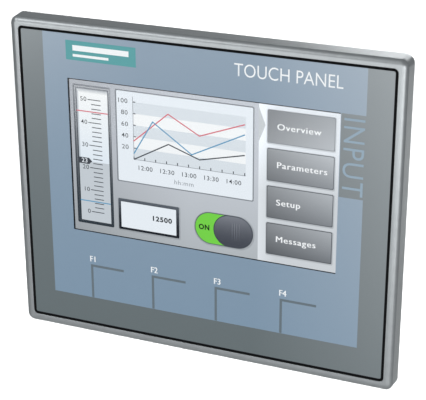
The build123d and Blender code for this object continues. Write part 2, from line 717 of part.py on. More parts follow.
# ---------------------------------------------------------------- mounting clips
CLIP_AXIS = CUTOUT_W / 2 + 2.4  # the clamp screw presses this far out on the cabinet wall
CLIP_Y = (8.2, 14.2)
CLIP_OUT = 66.2
LIP_BACK = 13.9
FOOT_FRONT = SEAL_PROUD + SHEET_MIN + FOOT_TRAVEL
FOOT_Y = (FOOT_FRONT, FOOT_FRONT + 1)
CLAMP_SCREW_END = 17.4


def block(x0, x1, y0, y1, z0, z1):
    """A box between two corners, added to the part that is being built."""
    with Locations(((x0 + x1) / 2, (y0 + y1) / 2, (z0 + z1) / 2)):
        Box(x1 - x0, y1 - y0, z1 - z0)


def make_clip(number, side, z):
    """One hook-in clip on the +X or -X wall, with its pressure foot and clamp screw."""
    wall_out = COVER_W / 2
    wall_in = wall_out - WALL
    with BuildPart() as right_clip:
        block(wall_out + 0.15, CLIP_OUT, *CLIP_Y, z - 7, z + 7)
        fillet(right_clip.faces().sort_by(Axis.X)[-1].edges(), 0.8)
        block(wall_in - 0.5, wall_out + 0.2, *TONGUE_Y, z - 4, z + 4)
        block(wall_in - 1.8, wall_in - 0.2, TONGUE_Y[0], LIP_BACK, z - 4, z + 4)
        with BuildSketch(depth(CLIP_Y[1] + 1)):
            with Locations((CLIP_AXIS, z)):
                Circle(CLIP_SCREW_R + FIT)
        extrude(amount=8, mode=Mode.SUBTRACT)

    with BuildPart() as right_foot:
        with BuildSketch(depth(FOOT_Y[1])):
            with Locations((CLIP_AXIS, z)):
                Circle(2.1)
        extrude(amount=FOOT_Y[1] - FOOT_Y[0])
        fillet(right_foot.faces().sort_by(Axis.Y)[0].edges(), 0.25)
        with BuildSketch(depth(FOOT_Y[1])):
            with Locations((CLIP_AXIS, z)):
                Circle(0.85)
        extrude(amount=0.6, mode=Mode.SUBTRACT)

    with BuildPart() as right_screw:
        with BuildSketch(depth(CLAMP_SCREW_END)):
            with Locations((CLIP_AXIS, z)):
                Circle(CLIP_SCREW_R)
        extrude(amount=CLAMP_SCREW_END - FOOT_Y[1] - FIT)
        chamfer(right_screw.faces().sort_by(Axis.Y)[-1].edges(), 0.3)
        with BuildSketch(depth(FOOT_Y[1] + FIT)):
            with Locations((CLIP_AXIS, z)):
                Circle(0.8)
        extrude(amount=0.55)
        with BuildSketch(depth(CLAMP_SCREW_END)):
            with Locations((CLIP_AXIS, z)):
                Rectangle(4, 0.6)
        extrude(amount=1.1, mode=Mode.SUBTRACT)

    for name, right in (
        ("mounting_clip", right_clip),
        ("clamp_foot", right_foot),
        ("clamp_screw", right_screw),
    ):
        with BuildPart() as placed:
            add(right.part if side > 0 else mirror(right.part, about=Plane.YZ, mode=Mode.PRIVATE))
        keep(placed, f"{name}_{number}")


# ---------------------------------------------------------------- build and write
def main():
    make_front_bezel()
    make_mounting_seal()
    make_overlay_seal()
    make_overlay_foil()
    make_front_carrier()
    make_display_stack()
    make_cables()
    for number in range(1, KEY_COUNT + 1):
        make_key(number)
    make_key_switches()
    make_keypad_board()
    make_support_plate()
    make_components()
    make_power_socket()
    make_usb_socket()
    make_ethernet_socket()
    make_rear_cover()
    make_cover_screws()
    make_rating_plate()
    make_earth_terminal()
    places = [(side, z) for z in (CLIP_Z, -CLIP_Z) for side in (-1, 1)]
    for number, (side, z) in enumerate(places, start=1):
        make_clip(number, side, z)

    os.makedirs("parts", exist_ok=True)
    for name, piece in PIECES.items():
        export_step(piece, f"parts/{name}.step")
    print(len(PIECES), "pieces written")


main()
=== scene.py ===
"""Looks of the operator panel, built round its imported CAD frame.

+X is to the right as the operator sees it, +Z is up and +Y goes into the cabinet. Sizes in this file
are millimetres until MM turns them into metres.
"""

import json
import math

import bmesh
import bpy
from mathutils import Matrix, Vector


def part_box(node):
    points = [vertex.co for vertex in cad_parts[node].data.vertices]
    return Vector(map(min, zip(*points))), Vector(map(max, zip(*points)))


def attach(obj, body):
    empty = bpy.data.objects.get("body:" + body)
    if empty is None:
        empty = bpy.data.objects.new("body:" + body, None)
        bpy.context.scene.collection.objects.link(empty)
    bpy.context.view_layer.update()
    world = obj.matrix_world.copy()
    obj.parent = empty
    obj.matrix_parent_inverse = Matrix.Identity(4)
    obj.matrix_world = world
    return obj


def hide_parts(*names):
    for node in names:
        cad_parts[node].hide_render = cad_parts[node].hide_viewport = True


MM = 0.001
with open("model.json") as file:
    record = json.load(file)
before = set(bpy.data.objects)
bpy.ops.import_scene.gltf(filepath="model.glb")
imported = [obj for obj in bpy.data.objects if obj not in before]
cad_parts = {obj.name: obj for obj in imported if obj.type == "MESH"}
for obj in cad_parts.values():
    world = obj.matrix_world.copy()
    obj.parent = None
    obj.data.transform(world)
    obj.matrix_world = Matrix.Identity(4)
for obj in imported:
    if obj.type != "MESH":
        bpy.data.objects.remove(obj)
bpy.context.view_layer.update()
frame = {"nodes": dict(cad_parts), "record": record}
RECORD = frame["record"]
NODES = frame["nodes"]
SLOT_OF = {part["node"]: part["material_slot"] for part in RECORD["subparts"]}
BODY_OF = {node: body for body, nodes in RECORD["behaviour"]["bodies"].items() for node in nodes}


def box_mm(node):
    """Lowest and highest corner of a CAD node, in millimetres."""
    low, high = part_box(node)
    return low / MM, high / MM


# ---------------------------------------------------------------- where the visible layers lie
FOIL_LOW, FOIL_HIGH = box_mm("overlay_foil")
CELL_LOW, CELL_HIGH = box_mm("lcd_cell")
FOIL_Y = FOIL_LOW.y
CELL_Y = CELL_LOW.y
LAYER = 0.012  # one print layer in front of the next
SCREEN_W, SCREEN_H = 96.7, 55.4  # lit area of the display
SCREEN_BELOW = 0.14  # its middle lies this far below the cell's
SCREEN_Z = (CELL_LOW.z + CELL_HIGH.z) / 2 - SCREEN_BELOW
KEYS = (1, 2, 3, 4)
KEY_LOWS = {n: box_mm(f"key_face_f{n}")[0] for n in KEYS}
KEY_HIGHS = {n: box_mm(f"key_face_f{n}")[1] for n in KEYS}

# the print on the overlay
FIELD_X = (-57.3, 56.9)  # blue field between the grey bands
FIELD_BOTTOM = -43.6
WORD_BLOCK_X = (48.8, 56.9)  # grey block that carries the upright word
WORD_BLOCK_Z = (9.7, 38.1)
PLATE_X, PLATE_Z = (-48.6, -22.5), (44.6, 51.4)  # coloured name plate
PLATE_MARGIN = 2.6  # from the plate's left edge to its lines
PLATE_LINES = ((20.9, 1.9, 0.9), (13.4, 0.9, -1.7))  # length, thickness and height over the middle
WORDS_X, WORDS_Z, WORDS_HIGH = 12.4, 47.9, 4.6  # the words beside the plate
UPRIGHT_HIGH = 7.4  # capitals of the upright word
KEY_NAME_Z, KEY_NAME_HIGH, KEY_NAME_STROKE = -28.45, 2.3, 0.14
KEY_NAME_OUT = 0.4  # a key's name starts this far left of the key
PRINT_SHADE_Z = 54.0  # painted shade: the print is darker towards the bottom and lighter towards the top, between minus this height and this height
SHEEN_X = (20.0, 66.0)  # the painted sheen grows between these distances from the middle

# ---------------------------------------------------------------- camera
LENS, SENSOR = 116.92, 36.0
CAMERA_AZIMUTH, CAMERA_ELEVATION, CAMERA_ROLL = 22.86, 22.51, -0.18
CAMERA_DISTANCE = 463.2
CAMERA_TARGET = (5.08, -6.4, 1.77)


def make_camera():
    """The camera looks down at the front from the operator's right."""
    azimuth, elevation = math.radians(CAMERA_AZIMUTH), math.radians(CAMERA_ELEVATION)
    outward = Vector(
        (
            math.sin(azimuth) * math.cos(elevation),
            -math.cos(azimuth) * math.cos(elevation),
            math.sin(elevation),
        )
    )
    data = bpy.data.cameras.new("camera")
    data.lens = LENS
    data.sensor_width = SENSOR
    data.clip_start, data.clip_end = 0.01, 30.0
    camera = bpy.data.objects.new("camera", data)
    camera.location = (Vector(CAMERA_TARGET) + outward * CAMERA_DISTANCE) * MM
    level = (-outward).to_track_quat("-Z", "Y").to_matrix()
    roll = Matrix.Rotation(math.radians(CAMERA_ROLL), 3, "Z")
    camera.rotation_euler = (level @ roll).to_euler()
    bpy.context.scene.collection.objects.link(camera)
    bpy.context.scene.camera = camera


# ---------------------------------------------------------------- shader building
def linear(*srgb):
    """A colour given as 0 to 255 screen values, as linear light."""
    values = [c / 255 for c in srgb]
    return tuple(v / 12.92 if v <= 0.04045 else ((v + 0.055) / 1.055) ** 2.4 for v in values) + (1.0,)


class Shader:
    """A node material that is built up step by step."""

    def __init__(self, name):
        self.material = bpy.data.materials.new(name)
        self.material.use_nodes = True
        self.tree = self.material.node_tree
        self.surface = self.tree.nodes["Principled BSDF"]
        self.output = self.tree.nodes["Material Output"]
        self.place = self.tree.nodes.new("ShaderNodeTexCoord").outputs["Object"]

    def node(self, kind, **settings):
        """A new node with its settings made."""
        made = self.tree.nodes.new(kind)
        for name, value in settings.items():
            setattr(made, name, value)
        return made

    def join(self, source, target):
        """Gives a socket a fixed value, or links another socket to it."""
        if isinstance(source, (int, float, tuple)):
            target.default_value = source
        else:
            self.tree.links.new(source, target)

    def values(self, **sockets):
        """Fixed values of the surface, by the socket's name."""
        for name, value in sockets.items():
            self.surface.inputs[name.replace("_", " ")].default_value = value

    def math(self, operation, a, b=0.0):
        made = self.node("ShaderNodeMath", operation=operation)
        self.join(a, made.inputs[0])
        self.join(b, made.inputs[1])
        return made.outputs[0]

    def axis(self, name):
        """The object's own X, Y or Z in metres."""
        made = self.node("ShaderNodeSeparateXYZ")
        self.join(self.place, made.inputs[0])
        return made.outputs[name]

    def stretched(self, scale):
        """The object's own coordinates, drawn out where the scale is below 1."""
        made = self.node("ShaderNodeMapping")
        self.join(self.place, made.inputs["Vector"])
        made.inputs["Scale"].default_value = scale
        return made.outputs[0]

    def noise(self, size_mm, detail=2.0, vector=None):
        """A grain whose features are about size_mm across."""
        made = self.node("ShaderNodeTexNoise")
        self.join(vector or self.place, made.inputs["Vector"])
        made.inputs["Scale"].default_value = 1 / (size_mm * MM)
        made.inputs["Detail"].default_value = detail
        return made.outputs["Fac"]

    def span(self, value, low, high, to_low=0.0, to_high=1.0):
        """A value between low and high, brought to between to_low and to_high."""
        made = self.node("ShaderNodeMapRange")
        self.join(value, made.inputs["Value"])
        numbers = {"From Min": low, "From Max": high, "To Min": to_low, "To Max": to_high}
        for name, number in numbers.items():
            made.inputs[name].default_value = number
        return made.outputs["Result"]

    def mix(self, factor, a, b):
        made = self.node("ShaderNodeMix", data_type="RGBA")
        self.join(factor, made.inputs["Factor"])
        self.join(a, made.inputs["A"])
        self.join(b, made.inputs["B"])
        return made.outputs["Result"]

    def inside(self, axis, low, high):
        """1 where the object's own coordinate is between two values in millimetres."""
        offset = self.math("SUBTRACT", self.axis(axis), (low + high) / 2 * MM)
        return self.math("LESS_THAN", self.math("ABSOLUTE", offset), (high - low) / 2 * MM)

    def colour(self, value):
        self.join(value, self.surface.inputs["Base Color"])

    def roughness(self, value):
        self.join(value, self.surface.inputs["Roughness"])

    def bump(self, height, depth_mm, strength=1.0):
        made = self.node("ShaderNodeBump")
        made.inputs["Strength"].default_value = strength
        made.inputs["Distance"].default_value = depth_mm * MM
        self.join(height, made.inputs["Height"])
        self.join(made.outputs["Normal"], self.surface.inputs["Normal"])


def tinted(shader, colour, size_mm, amount):
    """A colour that drifts a little in brightness across the surface."""
    darker = tuple(c * (1 - amount) for c in colour[:3]) + (1.0,)
    lighter = tuple(min(1.0, c * (1 + amount)) for c in colour[:3]) + (1.0,)
    return shader.mix(shader.noise(size_mm), darker, lighter)


def grained(name, colour, grain_mm, depth_mm, rough, metallic=0.0, drift=0.06, specular=0.5):
    """Plastic, rubber, paint or cast metal with a fine even grain."""
    shader = Shader(name)
    shader.values(Metallic=metallic, Specular_IOR_Level=specular)
    shader.colour(tinted(shader, colour, grain_mm * 12, drift))
    grain = shader.noise(grain_mm, detail=3.0)
    shader.roughness(shader.span(grain, 0.3, 0.7, rough - 0.05, rough + 0.07))
    shader.bump(grain, depth_mm)
    return shader.material


def brushed(name, colour, rough, direction, metallic=1.0):
    """Metal with fine lines along one axis."""
    shader = Shader(name)
    shader.values(Metallic=metallic)
    lines = shader.noise(0.12, detail=3.0, vector=shader.stretched(direction))
    darker = tuple(c * 0.8 for c in colour[:3]) + (1.0,)
    shader.colour(shader.mix(shader.span(lines, 0.3, 0.7), darker, colour))
    shader.roughness(shader.span(lines, 0.3, 0.7, rough - 0.06, rough + 0.1))
    shader.bump(lines, 0.01)
    return shader.material


def overlay_print():
    """Satin polyester, printed blue with grey bands left, right and below and a block for the word.
    Painted shade makes it darker towards the bottom, and a painted sheen lightens it towards the right
    edge and the top corners.
    """
    shader = Shader("overlay_print")
    # painted shade: the blue and the grey bands are lighter at the top and darker at the bottom, as
    # light from above falls
    height = shader.span(shader.axis("Z"), -PRINT_SHADE_Z * MM, PRINT_SHADE_Z * MM)
    blue = shader.mix(height, linear(118, 143, 165), linear(132, 152, 171))
    band = shader.mix(height, linear(91, 102, 105), linear(103, 112, 115))
    above_foil = FOIL_HIGH.z + 1
    field_across, field_up = shader.inside("X", *FIELD_X), shader.inside("Z", FIELD_BOTTOM, above_foil)
    block_across, block_up = shader.inside("X", *WORD_BLOCK_X), shader.inside("Z", *WORD_BLOCK_Z)
    in_field = shader.math("MULTIPLY", field_across, field_up)
    in_block = shader.math("MULTIPLY", block_across, block_up)
    printed = shader.mix(shader.math("SUBTRACT", in_field, in_block), band, blue)
    # painted sheen: the colour is mixed towards pale grey near the right edge and the top corners, a
    # painted reflection on the satin coat; the grain adds a faint even mottle
    near, far = (distance * MM for distance in SHEEN_X)
    right = shader.span(shader.axis("X"), near, far)
    left = shader.span(shader.axis("X"), -near, -far)
    top = shader.math("POWER", height, 4.0)
    sheen_right = shader.math("MULTIPLY", right, shader.span(height, 0.0, 1.0, 0.078, 0.21))
    sheen_top = shader.math("MULTIPLY", top, shader.span(left, 0.0, 1.0, 0.057, 0.18))
    sheen_and_mottle = shader.math("ADD", sheen_right, sheen_top)
    grain = shader.noise(0.22, detail=2.0)
    sheen_and_mottle = shader.math("ADD", sheen_and_mottle, shader.span(grain, 0.2, 0.8, 0.0, 0.03))
    shader.colour(shader.mix(sheen_and_mottle, printed, linear(235, 240, 244)))
    shader.roughness(shader.span(grain, 0.3, 0.7, 0.36, 0.46))
    shader.values(Specular_IOR_Level=0.35)
    shader.bump(grain, 0.004)
    return shader.material


CLEAR_TINT, CLEAR_IOR = (0.985, 0.99, 0.99, 1.0), 1.45


def clear_layer(name, gloss, rough):
    """A clear sheet: it shows what is behind it under a faint reflection."""
    shader = Shader(name)
    clear = shader.node("ShaderNodeBsdfTransparent")
    clear.inputs["Color"].default_value = CLEAR_TINT
    shine = shader.node("ShaderNodeBsdfGlossy")
    uneven = shader.span(shader.noise(3.0), 0.3, 0.7, rough * 0.8, rough * 1.2)
    shader.join(uneven, shine.inputs["Roughness"])
    facing = shader.node("ShaderNodeFresnel")
    facing.inputs["IOR"].default_value = CLEAR_IOR
    share = shader.math("MULTIPLY", facing.outputs[0], gloss)
    blend = shader.node("ShaderNodeMixShader")
    shader.join(share, blend.inputs[0])
    shader.join(clear.outputs[0], blend.inputs[1])
    shader.join(shine.outputs[0], blend.inputs[2])
    shader.join(blend.outputs[0], shader.output.inputs["Surface"])
    return shader.material


def lit(name, low, high=None, z=None, sides=None, x=None, curve=1.0):
    """A colour shown by the display, even, or from its low colour at z[0] up to its high one at z[1].

    sides are the brightness factors at x[0] and x[1]. A curve above 1 keeps the low colour for longer.
    """
    shader = Shader(name)
    shader.values(Base_Color=(0, 0, 0, 1), Roughness=0.5, Specular_IOR_Level=0.0)
    shader.values(Emission_Strength=1.0)
    scaled = shader.node("ShaderNodeVectorMath", operation="SCALE")
    if high:
        height = shader.math("POWER", shader.span(shader.axis("Z"), z[0] * MM, z[1] * MM), curve)
        shader.join(shader.mix(height, linear(*low), linear(*high)), scaled.inputs[0])
    else:
        shader.join(linear(*low)[:3], scaled.inputs[0])
    bright = shader.span(shader.noise(0.4, detail=1.0), 0.3, 0.7, 0.985, 1.015)
    if sides:
        across = shader.span(shader.axis("X"), x[0] * MM, x[1] * MM, *sides)
        bright = shader.math("MULTIPLY", bright, across)
    shader.join(bright, scaled.inputs["Scale"])
    shader.join(scaled.outputs[0], shader.surface.inputs["Emission Color"])
    return shader.material


def ink(name, colour):
    """Printing ink: nearly even, with the slight mottle of a screen print."""
    shader = Shader(name)
    shader.colour(tinted(shader, colour, 0.5, 0.04))
    shader.roughness(shader.span(shader.noise(0.3), 0.3, 0.7, 0.4, 0.5))
    shader.values(Specular_IOR_Level=0.35)
    return shader.material


def circuit_board():
    """Green solder mask with fainter copper tracks under it."""
    shader = Shader("circuit_board")
    tracks = shader.node("ShaderNodeTexBrick", offset=0.3)
    turned = shader.node("ShaderNodeMapping")
    turned.inputs["Rotation"].default_value = (math.radians(90), 0, 0)
    shader.join(shader.place, turned.inputs["Vector"])
    shader.join(turned.outputs[0], tracks.inputs["Vector"])
    tracks.inputs["Scale"].default_value = 160
    tracks.inputs["Mortar Size"].default_value = 0.03
    tracks.inputs["Color1"].default_value = linear(22, 92, 52)
    tracks.inputs["Color2"].default_value = linear(18, 80, 46)
    tracks.inputs["Mortar"].default_value = linear(42, 120, 70)
    shader.colour(tracks.outputs["Color"])
    shader.roughness(shader.span(shader.noise(0.8), 0.3, 0.7, 0.28, 0.42))
    shader.bump(tracks.outputs["Fac"], 0.02, 0.4)
    return shader.material


def flat_cable_film():
    """Amber film with copper tracks that show through."""
    shader = Shader("flat_cable_film")
    tracks = shader.node("ShaderNodeTexWave", wave_type="BANDS", bands_direction="X")
    shader.join(shader.place, tracks.inputs["Vector"])
    tracks.inputs["Scale"].default_value = 320
    shader.colour(shader.mix(tracks.outputs["Fac"], linear(150, 86, 24), linear(196, 122, 48)))
    shader.roughness(0.3)
    shader.bump(tracks.outputs["Fac"], 0.01)
    return shader.material


PAINT, STEEL, PLASTIC_BLACK = linear(154, 158, 160), linear(176, 178, 180), linear(38, 39, 41)
MATERIALS = {
    "frame_metal": grained("frame_metal", PAINT, 0.22, 0.01, 0.335, metallic=0.9, drift=0.1),
    "overlay_print": overlay_print(),
    "seal_rubber": grained("seal_rubber", linear(9, 10, 12), 0.3, 0.01, 0.62, drift=0.2, specular=0.08),
    "carrier_plastic": grained("carrier_plastic", linear(58, 60, 64), 0.2, 0.01, 0.55),
    "touch_film": clear_layer("touch_film", 0.4, 0.16),
    "touch_glass": clear_layer("touch_glass", 0.15, 0.05),
    "flat_cable": flat_cable_film(),
    "display_cell": grained("display_cell", linear(14, 18, 22), 0.6, 0.001, 0.3, specular=0.2),
    "frame_plastic": grained("frame_plastic", linear(222, 223, 222), 0.3, 0.01, 0.45),
    "light_guide": grained("light_guide", linear(235, 238, 240), 0.8, 0.002, 0.2),
    "sheet_steel": brushed("sheet_steel", STEEL, 0.36, (0.06, 1, 1)),
    "circuit_board": circuit_board(),
    "switch_plastic": grained("switch_plastic", linear(214, 210, 198), 0.2, 0.01, 0.5),
    "chip_plastic": grained("chip_plastic", linear(30, 30, 32), 0.15, 0.006, 0.55),
    "capacitor_can": brushed("capacitor_can", linear(190, 192, 195), 0.3, (1, 0.06, 1)),
    "screw_steel": brushed("screw_steel", linear(160, 162, 165), 0.3, (1, 0.1, 1)),
    "housing_plastic": grained("housing_plastic", linear(66, 69, 73), 0.35, 0.03, 0.5, drift=0.05),
    "socket_plastic": grained("socket_plastic", PLASTIC_BLACK, 0.2, 0.008, 0.42),
    "contact_metal": brushed("contact_metal", linear(232, 196, 118), 0.24, (1, 1, 0.1)),
    "label_film": brushed("label_film", linear(196, 198, 200), 0.42, (0.05, 1, 1), metallic=0.6),
    "clip_plastic": grained("clip_plastic", linear(32, 33, 35), 0.25, 0.02, 0.48),
}


# ---------------------------------------------------------------- pieces
def show(mesh_object, body, replaces=()):
    """Puts a piece in the scene, on its body, and hides the CAD pieces it replaces."""
    bpy.context.scene.collection.objects.link(mesh_object)
    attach(mesh_object, body)
    if replaces:
        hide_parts(*replaces)


SHARP_DEGREES, ROUNDED_DEGREES, FLAT_DEGREES = 35, 40, 0.3


def smooth(mesh):
    """Smooth shading, with the sharp edges left sharp."""
    for face in mesh.polygons:
        face.use_smooth = True
    mesh.set_sharp_from_angle(angle=math.radians(SHARP_DEGREES))


def rounded_copy(node, edge_mm):
    """The CAD piece with its sharp edges slightly rounded, shown in its place."""
    work = bmesh.new()
    work.from_mesh(NODES[node].data)
    bmesh.ops.remove_doubles(work, verts=work.verts, dist=1e-7)
    parts, flat = {"verts": work.verts, "edges": work.edges}, math.radians(FLAT_DEGREES)
    bmesh.ops.dissolve_limit(work, angle_limit=flat, delimit={"NORMAL"}, **parts)
    mesh = bpy.data.meshes.new(f"{node}_shown")
    work.to_mesh(mesh)
    work.free()
    smooth(mesh)
    mesh.materials.append(MATERIALS[SLOT_OF[node]])
    piece = bpy.data.objects.new(f"{node}_shown", mesh)
    bevel = piece.modifiers.new("edges", "BEVEL")
    bevel.width = edge_mm * MM
    bevel.segments = 2
    bevel.limit_method = "ANGLE"
    bevel.angle_limit = math.radians(ROUNDED_DEGREES)
    # flat faces stay flat beside their roundings
    even = piece.modifiers.new("even", "WEIGHTED_NORMAL")
    even.keep_sharp = True
    even.weight = 100
    show(piece, BODY_OF[node], [node])


def grown(box, reach):
    """A box given as left, right, bottom and top, with every side moved outward."""
    left, right, bottom, top = box
    return left - reach, right + reach, bottom - reach, top + reach


CAPITAL_SHARE = 0.73  # height of a capital in the built-in font, as a share of its size


class Art:
    """Flat shapes and letters on one plane that faces the operator, gathered into one piece."""

    def __init__(self, name, y, origin=(0.0, 0.0)):
        self.name = name
        self.y = y
        self.origin = origin
        self.shapes = []

    def polygon(self, points, material, layer):
        self.shapes.append((points, material, layer))

    def rectangle(self, x0, x1, z0, z1, material, layer=1, *, radius=0.0):
        """A rectangle, with quarter circles at its corners where a radius is given."""
        if not radius:
            self.polygon([(x0, z0), (x1, z0), (x1, z1), (x0, z1)], material, layer)
            return
        steps = max(4, int(radius * 6))
        points = []
        for cx, cz, start in (
            (x1 - radius, z0 + radius, -90),
            (x1 - radius, z1 - radius, 0),
            (x0 + radius, z1 - radius, 90),
            (x0 + radius, z0 + radius, 180),
        ):
            for step in range(steps + 1):
                angle = math.radians(start + 90 * step / steps)
                points.append((cx + radius * math.cos(angle), cz + radius * math.sin(angle)))
        self.polygon(points, material, layer)

    def level(self, x0, x1, z, thick, material, layer):
        """A level line centred on z."""
        self.rectangle(x0, x1, z - thick / 2, z + thick / 2, material, layer)

    def upright(self, x, z0, z1, thick, material, layer):
        """An upright line centred on x."""
        self.rectangle(x - thick / 2, x + thick / 2, z0, z1, material, layer)

    def line(self, points, width, material, layer):
        """A polyline of even width with mitred corners."""
        path = [Vector(p) for p in points]
        sides = []
        for i, point in enumerate(path):
            before = (point - path[i - 1]).normalized() if i else (path[1] - point).normalized()
            after = (path[i + 1] - point).normalized() if i + 1 < len(path) else before
            across = Vector((-(before + after).y, (before + after).x)).normalized()
            reach = width / 2 / max(0.3, across.dot(Vector((-before.y, before.x))))
            sides.append((point + across * reach, point - across * reach))
        for (a, b), (c, d) in zip(sides, sides[1:]):
            self.polygon([tuple(b), tuple(d), tuple(c), tuple(a)], material, layer)

    def text(
        self,
        words,
        x,
        z,
        height,
        material,
        layer,
        *,
        align="LEFT",
        weight=0.0,
        wide=1.0,
        turn=0.0,
        apart=1.0,
    ):
        """Letters whose capitals are height tall, centred on z. turn is clockwise, in degrees."""
        curve = bpy.data.curves.new("letters", "FONT")
        curve.body = words
        curve.align_x = align
        curve.align_y = "CENTER"
        curve.resolution_u = 4
        curve.size = height / CAPITAL_SHARE
        curve.offset = weight
        curve.space_character = apart
        holder = bpy.data.objects.new("letters", curve)
        bpy.context.scene.collection.objects.link(holder)
        bpy.context.view_layer.update()
        graph = bpy.context.evaluated_depsgraph_get()
        mesh = bpy.data.meshes.new_from_object(holder.evaluated_get(graph))
        bpy.data.objects.remove(holder)
        angle = math.radians(-turn)
        spots = []
        for vertex in mesh.vertices:
            across, up = vertex.co.x * wide, vertex.co.y
            spots.append(
                (
                    x + across * math.cos(angle) - up * math.sin(angle),
                    z + across * math.sin(angle) + up * math.cos(angle),
                )
            )
        for face in mesh.polygons:
            self.polygon([spots[i] for i in face.vertices], material, layer)
        bpy.data.meshes.remove(mesh)

    def bold_text(self, words, x, z, height, material, layer, stroke, **settings):
        """Letters drawn twice, a little apart sideways, so that their strokes are heavier."""
        for i in (0, 1):
            self.text(words, x + i * stroke, z, height, material, layer + i, **settings)

    def piece(self, body, slot):
        """One mesh of all the shapes, each on its layer and facing the operator."""
        work = bmesh.new()
        materials = []
        for points, material, layer in self.shapes:
            if material not in materials:
                materials.append(material)
            y = (self.y - layer * LAYER) * MM
            corners = []
            for px, pz in points:
                spot = ((px + self.origin[0]) * MM, y, (pz + self.origin[1]) * MM)
                corners.append(work.verts.new(spot))
            face = work.faces.new(corners)
            face.material_index = materials.index(material)
            face.normal_update()
            if face.normal.y > 0:
                face.normal_flip()
        mesh = bpy.data.meshes.new(self.name)
        work.to_mesh(mesh)
        work.free()
        for material in materials:
            mesh.materials.append(material)
        show(bpy.data.objects.new(self.name, mesh), body)


# ---------------------------------------------------------------- print on the overlay
WHITE_INK = ink("white_ink", linear(246, 249, 250))
BLUE_INK = ink("blue_ink", linear(148, 169, 185))
TEAL_INK = ink("teal_ink", linear(86, 160, 163))
GREY_INK = ink("grey_ink", linear(97, 111, 119))


def make_print():
    """Name plate with two blank lines, the two generic words and the key names."""
    art = Art("overlay_print_marks", FOIL_Y)
    art.rectangle(*PLATE_X, *PLATE_Z, TEAL_INK)
    for length, thick, above in PLATE_LINES:
        line_x = PLATE_X[0] + PLATE_MARGIN
        art.level(line_x, line_x + length, sum(PLATE_Z) / 2 + above, thick, WHITE_INK, 2)
    thin = {"weight": -0.02, "wide": 0.86}
    art.text("TOUCH PANEL", WORDS_X, WORDS_Z, WORDS_HIGH, WHITE_INK, 3, **thin)
    x, z = sum(WORD_BLOCK_X) / 2, sum(WORD_BLOCK_Z) / 2
    art.text("INPUT", x, z, UPRIGHT_HIGH, BLUE_INK, 3, align="CENTER", turn=90, apart=1.12, **thin)
    for n in KEYS:
        x = KEY_LOWS[n].x - KEY_NAME_OUT
        art.bold_text(f"F{n}", x, KEY_NAME_Z, KEY_NAME_HIGH, WHITE_INK, 3, KEY_NAME_STROKE, wide=0.9)
    art.piece("housing", "overlay_print")


KEY_LINE = 0.9  # printed corner line of a key
KEY_EDGE = 0.05  # a key's film meets the rest of the overlay all round
KEY_CROWN = 0.03  # it rises this much towards its middle
KEY_CELLS = 14  # cells of its grid along each side


def make_key_skin(n):
    """The slightly domed part of the overlay that moves with one key, with its printed corner line."""
    low, high = KEY_LOWS[n], KEY_HIGHS[n]
    centre = (low + high) / 2
    reach_x, reach_z = (high.x - low.x) / 2 + KEY_EDGE, (high.z - low.z) / 2 + KEY_EDGE
    work = bmesh.new()
    bmesh.ops.create_grid(work, x_segments=KEY_CELLS, y_segments=KEY_CELLS, size=1.0)
    for vertex in work.verts:
        across, up = vertex.co.x, vertex.co.y
        crown = KEY_CROWN * (1 - across**2) * (1 - up**2)
        spot = (centre.x + across * reach_x, low.y - crown, centre.z + up * reach_z)
        vertex.co = Vector(spot) * MM
    sheet = bmesh.ops.extrude_face_region(work, geom=work.faces[:])
    for item in sheet["geom"]:
        if isinstance(item, bmesh.types.BMVert):
            item.co.y = high.y * MM
    bmesh.ops.recalc_face_normals(work, faces=work.faces)
    mesh = bpy.data.meshes.new(f"key_skin_f{n}")
    work.to_mesh(mesh)
    work.free()
    smooth(mesh)
    mesh.materials.append(MATERIALS["overlay_print"])
    skin = bpy.data.objects.new(f"key_skin_f{n}", mesh)
    show(skin, f"key_f{n}", [f"key_face_f{n}"])
    art = Art(f"key_mark_f{n}", low.y)
    art.rectangle(low.x, high.x, high.z - KEY_LINE, high.z, GREY_INK)
    art.rectangle(low.x, low.x + KEY_LINE, low.z, high.z - KEY_LINE, GREY_INK)
    art.piece(f"key_f{n}", "overlay_print")


# ---------------------------------------------------------------- picture on the display
# A box is left, right, bottom and top, in millimetres from the middle of the display.
INK_DARK = lit("lit_dark", (66, 71, 79))
INK_SOFT = lit("lit_soft", (160, 166, 173))
INK_FIGURE = lit("lit_figures", (46, 51, 58))
PAPER = lit("lit_paper", (236, 242, 249))
PAPER_BRIGHT = lit("lit_paper_bright", (248, 250, 252))
PAPER_SHADE = lit("lit_paper_shade", (221, 228, 235))
RED = lit("lit_red", (216, 112, 126))
BLUE = lit("lit_blue", (96, 156, 194))
FIGURE_HIGH, FIGURE_APART = 1.65, 1.1


def screen_art(name):
    """A drawing whose middle is the middle of the display."""
    return Art(name, CELL_Y, (0.0, SCREEN_Z))


def show_on_screen(art):
    art.piece("housing", "display_cell")


def write_figures(art, words, x, z, material, layer, **settings):
    """Words in the size of the figures on the scales."""
    art.text(words, x, z, FIGURE_HIGH, material, layer, apart=FIGURE_APART, **settings)


def make_screen_ground():
    """Grey behind everything else on the display."""
    art = screen_art("screen_ground")
    grey = lit("lit_ground", (171, 176, 181), (191, 195, 203), (-18, 14), (0.86, 1.13), (-48, -4))
    art.rectangle(-SCREEN_W / 2, SCREEN_W / 2, -SCREEN_H / 2, SCREEN_H / 2, grey)
    show_on_screen(art)


